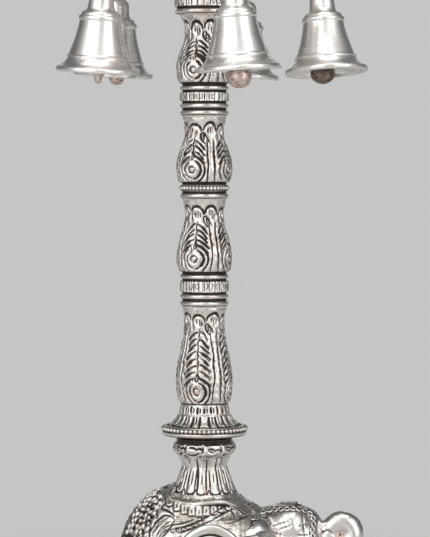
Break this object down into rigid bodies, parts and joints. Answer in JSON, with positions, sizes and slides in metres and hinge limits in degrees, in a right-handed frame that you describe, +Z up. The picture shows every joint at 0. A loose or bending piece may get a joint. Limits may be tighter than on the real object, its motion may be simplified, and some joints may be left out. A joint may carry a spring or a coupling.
{
  "type": "standing oil lamp",
  "caption": "Tall ornate oil lamp: a standing elephant carries a turned column with an oil dish on top, wick lips round its rim and small bells with swinging clappers hung below.",
  "frame": {"origin": "on the column axis, at the underside of the plinth", "axes": "+Z up along the column, +X the way the elephant faces, +Y to its left side"},
  "size_m": [0.1129, 0.1105, 0.3433],
  "materials": {
    "antique_silver": "cast brass with a bright silver face and dark oxide left in the engraving",
    "elephant_silver": "cast brass, silvered, darker in the hollows of the chased cloth",
    "bell_silver": "polished silver plate, slightly wavy from spinning",
    "ring_silver": "silvered wire, dulled",
    "steel": "plain steel",
    "copper_wire": "copper-toned wire, dulled",
    "clapper_iron": "rough casting, brown with age"
  },
  "bodies": {
    "stand": {"base_plinth": "antique_silver", "saddle_pedestal": "antique_silver", "column_skirt": "antique_silver", "vase_1": "antique_silver", "vase_2": "antique_silver", "vase_3": "antique_silver", "vase_4": "antique_silver", "band_1": "antique_silver", "band_2": "antique_silver", "band_3": "antique_silver", "band_4": "antique_silver", "dish_cup": "antique_silver", "oil_dish": "antique_silver", "bell_lugs": "antique_silver", "finial": "antique_silver", "elephant": "elephant_silver", "foot_screws": "steel", "rod_nut": "steel", "tie_rod": "steel"},
    "ring_1": {"hanger_ring_1": "ring_silver"},
    "bell_1": {"bell_1": "bell_silver", "bell_wire_1": "copper_wire"},
    "clapper_1": {"clapper_1": "clapper_iron"},
    "ring_2": {"hanger_ring_2": "ring_silver"},
    "bell_2": {"bell_2": "bell_silver", "bell_wire_2": "copper_wire"},
    "clapper_2": {"clapper_2": "clapper_iron"},
    "ring_3": {"hanger_ring_3": "ring_silver"},
    "bell_3": {"bell_3": "bell_silver", "bell_wire_3": "copper_wire"},
    "clapper_3": {"clapper_3": "clapper_iron"},
    "ring_4": {"hanger_ring_4": "ring_silver"},
    "bell_4": {"bell_4": "bell_silver", "bell_wire_4": "copper_wire"},
    "clapper_4": {"clapper_4": "clapper_iron"},
    "ring_5": {"hanger_ring_5": "ring_silver"},
    "bell_5": {"bell_5": "bell_silver", "bell_wire_5": "copper_wire"},
    "clapper_5": {"clapper_5": "clapper_iron"}
  },
  "joints": [
    {"name": "bell_1_swing", "type": "hinge", "parent": "stand", "child": "ring_1", "pos_m": [0.04187, -0.0033, 0.28035], "axis": [-0.0785, -0.9969, 0], "range_deg": [-12, 36]},
    {"name": "bell_1_sway", "type": "hinge", "parent": "ring_1", "child": "bell_1", "pos_m": [0.04209, -0.00331, 0.27716], "axis": [0.9945, -0.0783, 0.0698], "range_deg": [-3, 13]},
    {"name": "clapper_1_swing", "type": "hinge", "parent": "bell_1", "child": "clapper_1", "pos_m": [0.0431, -0.0048, 0.26116], "axis": [-0.0842, -0.9926, 0.0869], "range_deg": [-11, 19]},
    {"name": "bell_2_swing", "type": "hinge", "parent": "stand", "child": "ring_2", "pos_m": [0.01607, 0.0388, 0.28035], "axis": [0.9239, -0.3827, 0], "range_deg": [-8, 40]},
    {"name": "bell_2_sway", "type": "hinge", "parent": "ring_2", "child": "bell_2", "pos_m": [0.01607, 0.0388, 0.27715], "axis": [0.3827, 0.9239, 0], "range_deg": [-13, 3]},
    {"name": "clapper_2_swing", "type": "hinge", "parent": "bell_2", "child": "clapper_2", "pos_m": [0.01478, 0.03934, 0.26111], "axis": [0.9204, -0.3812, -0.0872], "range_deg": [-15, 15]},
    {"name": "bell_3_swing", "type": "hinge", "parent": "stand", "child": "ring_3", "pos_m": [-0.03194, 0.02728, 0.28035], "axis": [0.6494, 0.7604, 0], "range_deg": [-13, 35]},
    {"name": "bell_3_sway", "type": "hinge", "parent": "ring_3", "child": "bell_3", "pos_m": [-0.03215, 0.02746, 0.27716], "axis": [-0.7575, 0.647, 0.0872], "range_deg": [-8, 8]},
    {"name": "clapper_3_swing", "type": "hinge", "parent": "bell_3", "child": "clapper_3", "pos_m": [-0.03322, 0.02837, 0.26112], "axis": [0.6494, 0.7604, 0], "range_deg": [-10, 20]},
    {"name": "bell_4_swing", "type": "hinge", "parent": "stand", "child": "ring_4", "pos_m": [-0.03581, -0.02194, 0.28035], "axis": [-0.5225, 0.8526, 0], "range_deg": [-9, 39]},
    {"name": "bell_4_sway", "type": "hinge", "parent": "ring_4", "child": "bell_4", "pos_m": [-0.03586, -0.02197, 0.27715], "axis": [-0.8525, -0.5224, 0.0175], "range_deg": [-3, 13]},
    {"name": "clapper_4_swing", "type": "hinge", "parent": "bell_4", "child": "clapper_4", "pos_m": [-0.03683, -0.02092, 0.26111], "axis": [-0.5192, 0.8502, 0.0871], "range_deg": [-14, 16]},
    {"name": "bell_5_swing", "type": "hinge", "parent": "stand", "child": "ring_5", "pos_m": [0.0098, -0.04084, 0.28035], "axis": [-0.9724, -0.2334, 0], "range_deg": [-8, 40]},
    {"name": "bell_5_sway", "type": "hinge", "parent": "ring_5", "child": "bell_5", "pos_m": [0.0098, -0.04084, 0.27715], "axis": [0.2334, -0.9724, 0], "range_deg": [-12, 4]},
    {"name": "clapper_5_swing", "type": "hinge", "parent": "bell_5", "child": "clapper_5", "pos_m": [0.0109, -0.04058, 0.26109], "axis": [-0.97, -0.2329, -0.0698], "range_deg": [-15, 15]}
  ]
}
